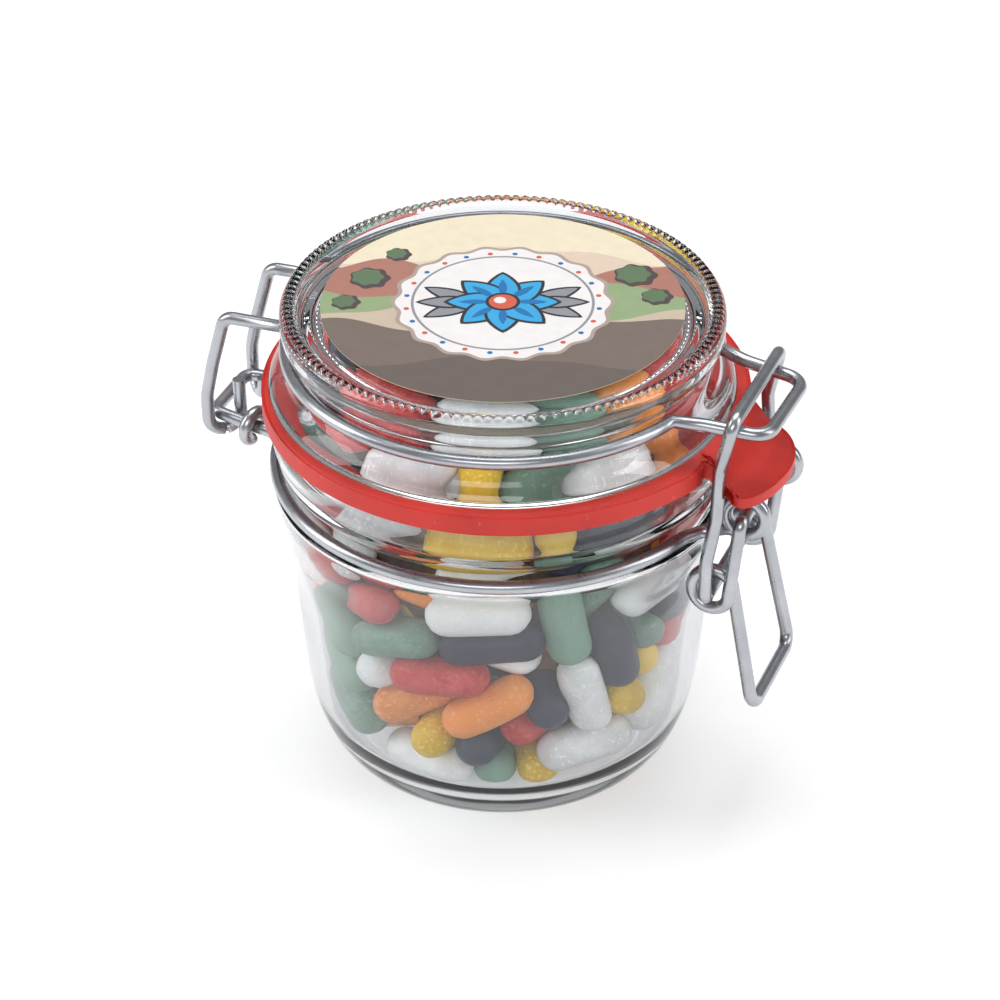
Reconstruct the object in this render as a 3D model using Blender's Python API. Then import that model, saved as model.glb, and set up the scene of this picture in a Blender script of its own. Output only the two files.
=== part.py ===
# A small clip-top glass jar of candies, shut by its wire clasp.
# Metres, +Z up, origin at the middle of the base, +X from the hinge to the clasp.
import math

import bmesh
import bpy
import numpy as np
from mathutils import Matrix, Vector

mm = 0.001

# Glass, rubber and label
turn_steps = 32                 # facets round the turned pieces
jar_outside = [                 # radius and height, from the lip down to the middle of the foot
    (37.4, 72.2), (38.2, 73.0), (41.2, 73.0), (42.2, 72.0), (42.2, 67.0), (41.4, 66.2),
    (40.2, 64.2), (40.0, 61.6), (40.05, 58.9), (42.0, 58.2), (42.3, 57.2), (41.7, 53.2),
    (40.9, 49.4), (39.6, 44.0), (38.8, 36.0), (37.7, 18.5), (36.3, 10.6), (34.4, 5.0),
    (31.8, 1.4), (29.0, 0.0), (0.0, 0.0)]
jar_inside = [                  # radius and height, from the middle of the floor up to the lip
    (0.0, 5.0), (25.0, 4.6), (29.4, 5.6), (32.6, 8.8), (34.2, 14.5), (35.8, 38.0),
    (36.6, 46.0), (38.2, 53.0), (38.0, 56.6), (36.6, 60.5), (36.6, 70.0)]
lid_outside = [
    (39.6, 77.0), (41.9, 77.0), (42.6, 77.7), (41.2, 80.0), (38.6, 82.0), (37.4, 83.4),
    (37.4, 85.7), (38.5, 87.0), (39.6, 88.2), (40.0, 90.2), (40.0, 91.9), (39.4, 93.1),
    (38.4, 93.6), (37.2, 93.4), (35.9, 92.3), (0.0, 92.3)]
lid_inside = [(0.0, 88.8), (32.0, 88.8), (34.0, 87.2), (34.6, 84.0), (37.4, 79.2)]
gasket_outer, gasket_inner = 44.3, 38.4
gasket_bottom, gasket_top = 73.3, 76.7
gasket_shift = 0.7              # the rubber ring sits a little towards the clasp
tab_thick = 2.0
tab_drop = 2.6                  # how far the tab hangs below the ring
tab_outline = [                 # from the near side of the ring out round the tip to the far side
    (39.5, -12.2), (47.7, -12.2), (49.0, -14.9), (50.6, -15.9), (52.6, -14.4), (54.5, -10.6),
    (55.7, -5.2), (55.7, -0.6), (54.6, 3.6), (52.2, 7.4), (48.8, 10.0), (45.0, 11.4), (39.5, 11.4)]
label_radius, label_bottom, label_thick = 32.6, 92.6, 0.3

# Wire
wire_radius = 1.225
arc_step = math.radians(30.0)   # longest turn between two points of a bend
lid_ring_radius, lid_ring_height = 39.0, 84.5
neck_ring_radius, neck_ring_height = 41.6, 60.4
lever_pivot = (49.8, 65.6)      # x and z of the line through the neck wire's two eyes
link_pivot = (44.6, 49.5)       # x and z of the line through the lever's two coils
eye_radius = 3.6                # middle of the wire round both pivots
nose_reach, nose_half = 53.7, 10.4
link_top, link_top_x, link_half = 86.9, 48.0, 13.4
handle_bottom = (53.4, 25.2)
hinge_x, hinge_half = -55.4, 9.6

# Candies
candy_length, candy_radius = 18.6, 3.85
candy_total = 235
candy_seed = 11
candy_gap = 0.5                 # candies stay this far from the glass
candy_sides = 6
core_inset = 5.6                # the solid core lies this far inside the glass
shown_depth = 0.3               # candies this close to the glass are fused on
core_bottom, core_top = 10.5, 82.5
settle_rounds = 400
hold_rounds, hold_pull = 250, 0.2    # until then the listed candies are drawn back to their places
front_candies = [               # degrees round from +X, height, tilt (None points outward), depth in the heap
    (-105, 37.0, 6, 0), (-71, 42.7, 5, 0), (-48, 43.0, -74, 1), (-29, 36.1, -78, 0), (-14, 35.5, None, 1),
    (-4, 42.0, 60, 1), (-15, 45.8, 5, 1), (-14, 27.9, None, 2), (-2, 31.0, None, 1), (-11, 21.0, 15, 0),
    (-23, 20.0, None, 0), (-42, 27.2, -55, 0), (-50, 35.6, None, 4), (-68, 36.0, -23, 4),
    (-88, 29.9, 2, 0), (-97, 22.7, 9, 2), (-67, 25.3, 35, 0), (-116, 27.0, None, 0), (-136, 33.0, -12, 0),
    (-134, 25.5, -22, 0), (-130, 18.0, -18, 0), (-90, 18.7, None, 0), (-92, 13.0, -3, 0),
    (-65, 16.0, None, 1), (-52, 20.9, 31, 3), (-42, 13.4, 10, 0), (-73, 11.0, None, 1),
    (-60, 11.0, None, 1), (-114, 13.0, 0, 2), (-24, 13.6, 4, 2), (-138, 43.0, 10, 0), (-92, 46.0, -16, 3),
    (-76, 50.6, 7, 0), (-116, 43.4, 17, 1), (-77, 84.4, 2, 0), (-53, 84.4, -4, 0), (-30, 84.4, 8, 0),
    (-102, 84.4, 0, 0), (-76, 76.5, None, 0), (-59, 76.5, 20, 0), (-95, 76.5, 4, 0), (-38, 76.5, -8, 0),
    (-77, 66.5, 2, 0), (-53, 66.5, None, 0), (-100, 66.5, 5, 0), (-30, 66.5, 6, 0), (-18, 77.0, None, 0),
    (-122, 77.0, 10, 0)]


def clear_scene():
    for thing in list(bpy.data.objects):
        bpy.data.objects.remove(thing, do_unlink=True)


def make_material(name, colour, roughness, metallic=0.0, transmission=0.0):
    material = bpy.data.materials.new(name)
    material.use_nodes = True
    shader = material.node_tree.nodes["Principled BSDF"]
    shader.inputs["Base Color"].default_value = (*colour, 1.0)
    shader.inputs["Roughness"].default_value = roughness
    shader.inputs["Metallic"].default_value = metallic
    shader.inputs["Transmission Weight"].default_value = transmission
    return material


def add_object(name, mesh, material):
    thing = bpy.data.objects.new(name, mesh)
    bpy.context.scene.collection.objects.link(thing)
    mesh.materials.clear()
    mesh.materials.append(material)
    return thing


def finish_mesh(shape, name, sharp_degrees=40.0):
    bmesh.ops.recalc_face_normals(shape, faces=shape.faces)
    mesh = bpy.data.meshes.new(name)
    shape.to_mesh(mesh)
    shape.free()
    mesh.shade_smooth()
    mesh.set_sharp_from_angle(angle=math.radians(sharp_degrees))
    return mesh


def turned(name, outline, material, close_loop):
    """Spin an outline of (radius, height) points about Z."""
    shape = bmesh.new()
    points = [shape.verts.new((r * mm, 0.0, z * mm)) for r, z in outline]
    edges = [shape.edges.new(pair) for pair in zip(points, points[1:])]
    if close_loop:
        edges.append(shape.edges.new((points[-1], points[0])))
    bmesh.ops.spin(shape, geom=points + edges, cent=(0, 0, 0), axis=(0, 0, 1),
                   angle=math.tau, steps=turn_steps, use_merge=True)
    bmesh.ops.remove_doubles(shape, verts=shape.verts, dist=1e-6)
    return add_object(name, finish_mesh(shape, name), material)


def rounded(corners):
    """Points along a bent wire: each corner is (x, y, z, bend radius)."""
    path = [Vector(corners[0][:3])]
    for before, corner, after in zip(corners, corners[1:], corners[2:]):
        here = Vector(corner[:3])
        back = (Vector(before[:3]) - here).normalized()
        on = (Vector(after[:3]) - here).normalized()
        turn = math.pi - back.angle(on)
        radius = corner[3]
        if radius == 0.0 or turn < 0.02:
            path.append(here)
            continue
        reach = radius * math.tan(turn / 2.0)
        centre = here + (back + on).normalized() * (radius / math.cos(turn / 2.0))
        start = here + back * reach - centre
        across = back.cross(on).normalized()
        count = max(2, math.ceil(turn / arc_step))
        for step in range(count + 1):
            swing = Matrix.Rotation(-turn * step / count, 3, across)
            path.append(centre + swing @ start)
    path.append(Vector(corners[-1][:3]))
    return path


def ring_arc(radius, height, start_degrees, end_degrees, count):
    """Points along an arc of a level ring."""
    path = []
    for step in range(count + 1):
        angle = math.radians(start_degrees + (end_degrees - start_degrees) * step / count)
        path.append(Vector((radius * math.cos(angle), radius * math.sin(angle), height)))
    return path


def coil(centre, start_degrees, end_degrees, y_start, y_end, count):
    """Points round a line along Y, moving sideways as they turn."""
    path = []
    for step in range(count + 1):
        part = step / count
        angle = math.radians(start_degrees + (end_degrees - start_degrees) * part)
        path.append(Vector((centre[0] + eye_radius * math.cos(angle), y_start + (y_end - y_start) * part,
                            centre[1] + eye_radius * math.sin(angle))))
    return path


def mirrored(path):
    """The same points on the other side of the jar, in the opposite order."""
    return [Vector((p.x, -p.y, p.z)) for p in reversed(path)]


def wire(name, path, material, closed=False):
    curve = bpy.data.curves.new(name, "CURVE")
    curve.dimensions = "3D"
    curve.bevel_depth = wire_radius * mm
    curve.bevel_resolution = 2
    curve.use_fill_caps = True
    spline = curve.splines.new("POLY")
    spline.points.add(len(path) - 1)
    for point, place in zip(spline.points, path):
        point.co = (*(place * mm), 1.0)
    spline.use_cyclic_u = closed
    spline.use_smooth = True
    curve.materials.append(material)
    thing = bpy.data.objects.new(name, curve)
    bpy.context.scene.collection.objects.link(thing)
    return thing


def evaluated_mesh(thing):
    bpy.context.view_layer.update()
    graph = bpy.context.evaluated_depsgraph_get()
    return bpy.data.meshes.new_from_object(thing.evaluated_get(graph), depsgraph=graph)


def fuse(name, base, others, material, solver="EXACT"):
    """One closed body from a base object and the objects that cross it."""
    group = bpy.data.collections.new(name + "_parts")
    bpy.context.scene.collection.children.link(group)
    for thing in others:
        group.objects.link(thing)
    union = base.modifiers.new("Union", "BOOLEAN")
    union.operation = "UNION"
    union.operand_type = "COLLECTION"
    union.collection = group
    union.solver = solver
    mesh = evaluated_mesh(base)
    for thing in [base, *others]:
        bpy.data.objects.remove(thing, do_unlink=True)
    bpy.data.collections.remove(group)
    mesh.shade_smooth()
    mesh.set_sharp_from_angle(angle=math.radians(40.0))
    return add_object(name, mesh, material)


def as_mesh_object(thing, material):
    mesh = evaluated_mesh(thing)
    name = thing.name
    bpy.data.objects.remove(thing, do_unlink=True)
    return add_object(name, mesh, material)


def inside_radius(height):
    """Radius of the hollow that the jar and the lid leave at a height."""
    wall = jar_inside[1:] + lid_inside[:0:-1]
    return np.interp(height, [z for _, z in wall], [r for r, _ in wall])


def hold_inside(ends, radius):
    """Push the candies' end balls back from the glass."""
    low, high = jar_inside[1][1] + candy_gap + radius, lid_inside[1][1] - candy_gap - radius
    ends[..., 2] = np.clip(ends[..., 2], low, high)
    out = np.hypot(ends[..., 0], ends[..., 1])
    limit = np.full(out.shape, 1e3)
    for lean in np.radians((-75.0, -50.0, -25.0, 0.0, 25.0, 50.0, 75.0)):
        wall = inside_radius(ends[..., 2] + radius * np.sin(lean)) - candy_gap
        limit = np.minimum(limit, wall - radius * np.cos(lean))
    ends[..., :2] *= np.minimum(1.0, limit / np.maximum(out, 1e-6))[..., None]


def push_apart(ends, give, radius):
    """Move each pair of candies that cross away from each other."""
    middle = ends.mean(axis=1)
    first, second = np.triu_indices(len(ends), 1)
    near = np.linalg.norm(middle[first] - middle[second], axis=1) < candy_length
    first, second = first[near], second[near]
    a, b = ends[first], ends[second]
    along_a, along_b, between = a[:, 1] - a[:, 0], b[:, 1] - b[:, 0], a[:, 0] - b[:, 0]
    aa, bb = (along_a ** 2).sum(1), (along_b ** 2).sum(1)
    ab, at, bt = (along_a * along_b).sum(1), (along_a * between).sum(1), (along_b * between).sum(1)
    s = np.clip((ab * bt - at * bb) / np.maximum(aa * bb - ab * ab, 1e-6), 0.0, 1.0)
    t = np.clip((ab * s + bt) / bb, 0.0, 1.0)
    s = np.clip((ab * t - at) / aa, 0.0, 1.0)
    gap = between + along_a * s[:, None] - along_b * t[:, None]
    distance = np.maximum(np.linalg.norm(gap, axis=1), 1e-6)
    bite = np.maximum(0.0, 2.0 * radius - distance)
    push = gap / distance[:, None] * bite[:, None]
    share = give[first] / (give[first] + give[second])
    for end, wa, wb in ((0, 1.0 - s, 1.0 - t), (1, s, t)):
        np.add.at(ends, (first, end), push * (0.5 * share * wa / (s * s + (1 - s) ** 2))[:, None])
        np.add.at(ends, (second, end), -push * (0.5 * (1 - share) * wb / (t * t + (1 - t) ** 2))[:, None])


def pack_candies():
    """The two end-ball centres of every candy, settled into the jar without crossing."""
    draw = np.random.default_rng(candy_seed)
    half = candy_length / 2.0 - candy_radius
    ends = np.zeros((candy_total, 2, 3))
    for number, (around, height, tilt, depth) in enumerate(front_candies):
        angle = math.radians(around)
        outward = np.array((math.cos(angle), math.sin(angle), 0.0))
        reach = float(inside_radius(height)) - candy_gap - candy_radius - depth
        if tilt is None:
            middle, axis = outward * (reach - half), outward
        else:
            lean = math.radians(tilt)
            level = np.array((-math.sin(angle), math.cos(angle), 0.0))
            middle, axis = outward * (reach - 0.8), level * math.cos(lean) + np.array((0, 0, math.sin(lean)))
        middle = middle + np.array((0.0, 0.0, height))
        ends[number] = middle - axis * half, middle + axis * half
    loose = candy_total - len(front_candies)
    angle, out = draw.uniform(0, math.tau, loose), 31.0 * np.sqrt(draw.uniform(0, 1, loose))
    middle = np.stack((out * np.cos(angle), out * np.sin(angle), draw.uniform(12.0, 85.0, loose)), axis=1)
    axis = draw.normal(size=(loose, 3))
    axis *= half / np.linalg.norm(axis, axis=1)[:, None]
    ends[len(front_candies):, 0], ends[len(front_candies):, 1] = middle - axis, middle + axis
    give = np.ones(candy_total)
    give[:len(front_candies)] = 0.12
    kept = ends[:len(front_candies)].copy()
    for step in range(settle_rounds):
        radius = candy_radius * min(1.0, 0.55 + 0.45 * step / (0.6 * settle_rounds))
        push_apart(ends, give, radius)
        if step < hold_rounds:
            ends[:len(kept)] += hold_pull * (kept - ends[:len(kept)])
        hold_inside(ends, candy_radius)
        middle = ends.mean(axis=1)
        axis = ends[:, 1] - ends[:, 0]
        axis *= half / np.linalg.norm(axis, axis=1)[:, None]
        ends[:, 0], ends[:, 1] = middle - axis, middle + axis
    hold_inside(ends, candy_radius)
    return ends


def candy(name, ends, material):
    """One candy with few sides, as an object."""
    start, end = Vector(ends[0]), Vector(ends[1])
    half = (end - start).length / 2.0
    outline = [(0.0, -half - candy_radius), (0.66 * candy_radius, -half - 0.75 * candy_radius),
               (candy_radius, -half), (candy_radius, half),
               (0.66 * candy_radius, half + 0.75 * candy_radius), (0.0, half + candy_radius)]
    shape = bmesh.new()
    points = [shape.verts.new((r, 0.0, z)) for r, z in outline]
    edges = [shape.edges.new(pair) for pair in zip(points, points[1:])]
    bmesh.ops.spin(shape, geom=points + edges, cent=(0, 0, 0), axis=(0, 0, 1),
                   angle=math.tau, steps=candy_sides, use_merge=True)
    bmesh.ops.remove_doubles(shape, verts=shape.verts, dist=1e-4)
    turn = (end - start).to_track_quat("Z", "Y").to_matrix().to_4x4()
    place = Matrix.Translation((start + end) / 2.0 * mm) @ turn @ Matrix.Scale(mm, 4)
    bmesh.ops.transform(shape, matrix=place, verts=shape.verts)
    return add_object(name, finish_mesh(shape, name), material)


def keep_largest(mesh):
    """Drop loose scraps and the walls of sealed hollows."""
    shape = bmesh.new()
    shape.from_mesh(mesh)
    left, groups = set(shape.verts), []
    while left:
        group, edge = set(), [left.pop()]
        while edge:
            vert = edge.pop()
            group.add(vert)
            for link in vert.link_edges:
                other = link.other_vert(vert)
                if other in left:
                    left.remove(other)
                    edge.append(other)
        groups.append(group)
    largest = max(groups, key=len)
    bmesh.ops.delete(shape, geom=[v for v in shape.verts if v not in largest], context="VERTS")
    bmesh.ops.dissolve_limit(shape, angle_limit=math.radians(0.5), verts=shape.verts, edges=shape.edges)
    bmesh.ops.triangulate(shape, faces=shape.faces)
    shape.to_mesh(mesh)
    shape.free()


def make_candies(sugar):
    """A solid core with the candies that lie against the glass fused on."""
    heights = np.linspace(core_bottom + 3.0, core_top - 3.0, 7)
    wall = [(float(inside_radius(z)) - core_inset, float(z)) for z in heights]
    outline = [(0.0, core_bottom), (wall[0][0] - 4.0, core_bottom), *wall,
               (wall[-1][0] - 4.0, core_top), (0.0, core_top)]
    core = turned("candy_core", outline, sugar, close_loop=False)
    pieces = []
    for number, ends in enumerate(pack_candies()):
        depth = inside_radius(ends[:, 2]) - np.hypot(ends[:, 0], ends[:, 1])
        depth = np.minimum(depth, lid_inside[0][1] - ends[:, 2]) - candy_gap - candy_radius
        if depth.min() < shown_depth:
            pieces.append(candy(f"candy_{number}", ends, sugar))
    candies = fuse("candies", core, pieces, sugar, solver="MANIFOLD")
    keep_largest(candies.data)
    return candies


def make_jar(glass):
    return turned("jar", jar_inside + jar_outside, glass, close_loop=False)


def make_lid(glass):
    return turned("lid", lid_inside + lid_outside, glass, close_loop=False)


def make_label(paper):
    shape = bmesh.new()
    bmesh.ops.create_cone(shape, cap_ends=True, segments=turn_steps, radius1=label_radius * mm,
                          radius2=label_radius * mm, depth=label_thick * mm,
                          matrix=Matrix.Translation((0, 0, (label_bottom + label_thick / 2) * mm)))
    return add_object("label", finish_mesh(shape, "label"), paper)


def make_gasket(rubber):
    outline = [(gasket_inner, gasket_bottom), (gasket_inner, gasket_top),
               (gasket_outer, gasket_top), (gasket_outer, gasket_bottom)]
    ring = turned("gasket_ring", outline, rubber, close_loop=True)
    ring.data.transform(Matrix.Translation((gasket_shift * mm, 0, 0)))

    shape = bmesh.new()
    corners = [shape.verts.new((x * mm, y * mm, 0.0)) for x, y in tab_outline]
    face = shape.faces.new(corners)
    lifted = bmesh.ops.extrude_face_region(shape, geom=[face])
    top = [v for v in lifted["geom"] if isinstance(v, bmesh.types.BMVert)]
    bmesh.ops.translate(shape, verts=top, vec=(0, 0, tab_thick * mm))
    for x in (42.5, 44.5, 46.5, 48.5):
        bmesh.ops.bisect_plane(shape, geom=shape.verts[:] + shape.edges[:] + shape.faces[:],
                               plane_co=(x * mm, 0, 0), plane_no=(1, 0, 0))
    ring_level = (gasket_bottom + gasket_top - tab_thick) / 2.0
    for vert in shape.verts:
        part = min(1.0, max(0.0, (vert.co.x / mm - 42.5) / 6.0))
        vert.co.z += (ring_level - tab_drop * part * part * (3.0 - 2.0 * part)) * mm
    tab = add_object("gasket_tab", finish_mesh(shape, "gasket_tab"), rubber)
    return fuse("gasket", ring, [tab], rubber)


def make_lid_wire(steel):
    """Hooks at the hinge, a ring round the lid and a nose that the clasp holds down."""
    z = lid_ring_height
    root = math.degrees(math.asin(hinge_half / lid_ring_radius))
    nose = 19.5
    near_hook = rounded([
        (-51.2, -4.7, 67.6, 0), (-50.8, -4.9, 57.9, 3.28), (hinge_x, -hinge_half, 57.9, 3.28),
        (hinge_x, -hinge_half, 66.0, 8.0), (-53.9, -hinge_half, 73.0, 12.0),
        (-50.9, -hinge_half, z - 0.6, 2.6), (-40.6, -hinge_half, z, 3.0)])[:-1]
    far_hook = rounded([
        (-50.9, 4.9, 62.4, 0), (-50.8, 4.9, 57.9, 3.28), (hinge_x, hinge_half, 57.9, 3.28),
        (hinge_x, hinge_half, 66.0, 8.0), (-53.9, hinge_half, 73.0, 12.0),
        (-50.9, hinge_half, z - 0.6, 2.6), (-40.6, hinge_half, z, 3.0)])[:-1]
    near_ring = ring_arc(lid_ring_radius, z, -180.0 + root, -nose, 11)
    far_ring = ring_arc(lid_ring_radius, z, nose, 180.0 - root, 11)
    low = 83.3
    nose_bend = rounded([
        (*near_ring[-1], 0), (42.4, -nose_half - 0.9, low + 0.7, 8.0),
        (nose_reach - 0.6, -nose_half + 0.4, low, 3.6), (nose_reach, nose_half - 0.4, low, 3.6),
        (42.4, nose_half + 0.9, low + 0.7, 8.0), (*far_ring[0], 0)])
    path = near_hook + near_ring[:-1] + nose_bend + far_ring[1:] + list(reversed(far_hook))
    return wire("lid_wire", path, steel)


def make_neck_wire(steel):
    """Eyes for the clasp, a ring round the neck and the bar that the lid wire hooks under."""
    z = neck_ring_height
    eye_y = 9.3
    eye = coil(lever_pivot, 240.0, -82.0, -eye_y, -eye_y, 12)
    front = rounded([(*eye[-1], 0), (lever_pivot[0] - 3.0, -eye_y, z + 1.9, 3.0), (42.2, -eye_y, z, 3.0),
                     (39.6, -12.6, z, 4.0), (37.6, -17.8, z, 0)])[1:-1]
    near_ring = ring_arc(neck_ring_radius, z, -25.3, -166.0, 10)
    bar = rounded([(*near_ring[-1], 0), (-42.4, -9.2, z + 0.2, 3.0), (-55.5, -7.0, z + 0.6, 2.2),
                   (-55.5, 0.0, z + 0.6, 0)])[1:]
    half = eye + front + near_ring + bar
    whole = wire("neck_ring", half[:-1] + mirrored(half[:-1]), steel)

    start = Vector((-42.4, -9.2, z + 0.2))
    along = (Vector((-55.5, -7.0, z + 0.6)) - start).normalized()
    side = Vector((0, 0, 1)).cross(along).normalized()
    up = along.cross(side)
    wrap = []
    for step in range(11):
        angle = math.radians(215.0 - 300.0 * step / 10)
        centre = start + along * (3.6 + 0.9 * step / 10)
        wrap.append(centre + (side * math.cos(angle) + up * math.sin(angle)) * 2.8)
    back = ring_arc(neck_ring_radius, z, 165.0, 183.0, 3)
    lead = [Vector((-42.6, -4.6, z + 0.6))]
    curl = wire("neck_curl", back + lead + wrap, steel)
    base = as_mesh_object(whole, steel)
    return fuse("neck_wire", base, [as_mesh_object(curl, steel)], steel)


def make_lever(steel):
    """A closed wire: pin through the eyes, two coils for the link and the pull handle."""
    outer_y, inner_y, foot_y = 12.1, 9.5, 10.9
    swing = coil(link_pivot, -6.6, -346.0, -outer_y, -inner_y, 14)
    pin = rounded([(lever_pivot[0], 0.0, lever_pivot[1], 0), (lever_pivot[0], -outer_y, lever_pivot[1], 1.7),
                   (*swing[0], 0)])[1:-1]
    foot = rounded([(*swing[-1], 0), (handle_bottom[0], -foot_y, handle_bottom[1], 3.0),
                    (handle_bottom[0], 0.0, handle_bottom[1], 0)])[1:-1]
    half = pin + swing + foot
    return wire("lever", half + mirrored(half), steel, closed=True)


def make_link(steel):
    """A closed loop from the lever's coils over the lid wire's nose."""
    wide = 14.8
    half = rounded([
        (link_pivot[0], 0.0, link_pivot[1], 0), (link_pivot[0], -wide, link_pivot[1], 1.8),
        (44.7, -wide, 58.0, 6.0), (46.2, -wide, 67.5, 6.0), (46.0, -link_half, 77.0, 4.0),
        (link_top_x, -link_half, link_top, 2.4), (link_top_x, 0.0, link_top, 0)])[1:-1]
    return wire("link", half + mirrored(half), steel, closed=True)


def main():
    clear_scene()
    glass = make_material("clear_glass", (0.93, 0.96, 0.95), 0.03, transmission=1.0)
    steel = make_material("zinc_wire", (0.56, 0.58, 0.60), 0.3, metallic=1.0)
    rubber = make_material("red_rubber", (0.62, 0.03, 0.02), 0.6)
    paper = make_material("label_paper", (0.42, 0.33, 0.27), 0.6)
    make_jar(glass)
    make_lid(glass)
    make_gasket(rubber)
    make_label(paper)
    make_lid_wire(steel)
    make_neck_wire(steel)
    make_lever(steel)
    make_link(steel)
    sugar = make_material("candy_sugar", (0.62, 0.30, 0.13), 0.6)
    make_candies(sugar)


main()
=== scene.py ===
# A small clip-top glass jar full of sugar-coated candies, shut by its wire clasp.
import math

import bmesh
import bpy
import numpy as np
from mathutils import Matrix, Vector, noise


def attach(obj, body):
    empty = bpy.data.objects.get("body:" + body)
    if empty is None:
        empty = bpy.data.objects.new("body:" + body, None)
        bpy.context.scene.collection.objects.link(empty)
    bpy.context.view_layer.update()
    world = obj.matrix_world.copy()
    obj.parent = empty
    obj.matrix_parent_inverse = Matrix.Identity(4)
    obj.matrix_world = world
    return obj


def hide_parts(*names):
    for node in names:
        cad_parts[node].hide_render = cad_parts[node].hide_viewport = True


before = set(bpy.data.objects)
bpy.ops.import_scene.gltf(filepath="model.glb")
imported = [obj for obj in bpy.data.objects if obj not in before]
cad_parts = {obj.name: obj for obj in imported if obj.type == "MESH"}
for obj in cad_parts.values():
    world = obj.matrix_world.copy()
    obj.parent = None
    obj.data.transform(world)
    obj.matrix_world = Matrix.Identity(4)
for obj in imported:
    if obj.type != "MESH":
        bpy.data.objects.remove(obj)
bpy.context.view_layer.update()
print("frame loaded")

mm = 0.001
sharpAngle = 42.0    # edges that turn by more degrees than this look sharp
joinDistance = 2e-6


# Camera, lights and floor

cameraView = {"turn": 22.0, "elevation": 34.3, "distance": 0.5926, "lookHeight": 0.0504,
              "sideways": -0.0005, "lens": 114.9, "sensor": 36.0, "nearest": 0.02}
studio = {"worldColour": (0.80, 0.82, 0.84), "worldStrength": 0.36, "floorColour": (0.86, 0.86, 0.86),
          "floorGlow": 0.30, "floorSize": 6.0, "lightsAimAt": (0.0, 0.0, 0.05)}
softBoxes = [    # place, size across and along, power, all aimed at the jar
    {"name": "top", "place": (-0.10, 0.25, 1.10), "size": (0.9, 0.7), "power": 7.0},
    {"name": "left", "place": (-0.95, -0.35, 0.60), "size": (0.5, 0.9), "power": 5.0},
    {"name": "right", "place": (0.95, 0.10, 0.55), "size": (0.25, 0.9), "power": 3.0},
    {"name": "front", "place": (0.25, -1.05, 0.75), "size": (0.7, 0.35), "power": 3.5},
]


def aimAt(thing, target):
    thing.rotation_euler = (Vector(target) - thing.location).to_track_quat("-Z", "Y").to_euler()


def makeCamera():
    camera = bpy.data.objects.new("camera", bpy.data.cameras.new("camera"))
    bpy.context.scene.collection.objects.link(camera)
    turn, rise = math.radians(cameraView["turn"]), math.radians(cameraView["elevation"])
    right = Vector((math.cos(turn), math.sin(turn), 0.0))
    back = Vector((math.sin(turn), -math.cos(turn), 0.0))
    target = Vector((0.0, 0.0, cameraView["lookHeight"])) + right * cameraView["sideways"]
    away = back * math.cos(rise) + Vector((0.0, 0.0, math.sin(rise)))
    camera.location = target + away * cameraView["distance"]
    aimAt(camera, target)
    camera.data.lens = cameraView["lens"]
    camera.data.sensor_width = cameraView["sensor"]
    camera.data.clip_start = cameraView["nearest"]
    bpy.context.scene.camera = camera


def makeStudio():
    for box in softBoxes:
        light = bpy.data.lights.new(box["name"], "AREA")
        light.shape = "RECTANGLE"
        light.size, light.size_y = box["size"]
        light.energy = box["power"]
        lamp = bpy.data.objects.new(box["name"], light)
        lamp.location = box["place"]
        aimAt(lamp, studio["lightsAimAt"])
        bpy.context.scene.collection.objects.link(lamp)
    world = bpy.data.worlds.new("studio")
    world.use_nodes = True
    background = world.node_tree.nodes["Background"]
    background.inputs["Color"].default_value = (*studio["worldColour"], 1.0)
    background.inputs["Strength"].default_value = studio["worldStrength"]
    bpy.context.scene.world = world
    bpy.context.scene.view_settings.view_transform = "Standard"
    shape = bmesh.new()
    bmesh.ops.create_grid(shape, x_segments=1, y_segments=1, size=studio["floorSize"] / 2.0)
    mesh = bpy.data.meshes.new("floor")
    shape.to_mesh(mesh)
    shape.free()
    floor = bpy.data.objects.new("floor", mesh)
    bpy.context.scene.collection.objects.link(floor)
    paper = newMaterial("floor paper", {"Base Color": (*studio["floorColour"], 1.0), "Roughness": 0.9,
                                        "Emission Color": grey(1.0),
                                        "Emission Strength": studio["floorGlow"]})
    mesh.materials.append(paper)


# Materials

def newMaterial(name, sockets):
    material = bpy.data.materials.new(name)
    material.use_nodes = True
    shader = material.node_tree.nodes["Principled BSDF"]
    for socket, value in sockets.items():
        shader.inputs[socket].default_value = value
    return material


# Noise on the object's own coordinates, which are metres.
def addNoise(tree, scale, detail):
    place = tree.nodes.new("ShaderNodeTexCoord")
    pattern = tree.nodes.new("ShaderNodeTexNoise")
    pattern.inputs["Scale"].default_value = scale
    pattern.inputs["Detail"].default_value = detail
    tree.links.new(place.outputs["Object"], pattern.inputs["Vector"])
    return pattern.outputs["Fac"]


def addRamp(tree, source, stops):
    ramp = tree.nodes.new("ShaderNodeValToRGB")
    ramp.color_ramp.elements[0].position, ramp.color_ramp.elements[0].color = stops[0]
    ramp.color_ramp.elements[1].position, ramp.color_ramp.elements[1].color = stops[-1]
    for position, colour in stops[1:-1]:
        ramp.color_ramp.elements.new(position).color = colour
    tree.links.new(source, ramp.inputs["Fac"])
    return ramp.outputs["Color"]


# Noise as a colour or a share, between the stops of a ramp.
def addClouds(tree, scale, detail, *stops):
    return addRamp(tree, addNoise(tree, scale, detail), stops)


# Noise as a bumpy surface; the distance is in metres.
def addGrain(tree, shader, scale, detail, strength, distance):
    height = addNoise(tree, scale, detail)
    bump = tree.nodes.new("ShaderNodeBump")
    bump.inputs["Strength"].default_value = strength
    bump.inputs["Distance"].default_value = distance
    tree.links.new(height, bump.inputs["Height"])
    tree.links.new(bump.outputs["Normal"], shader.inputs["Normal"])


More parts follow.
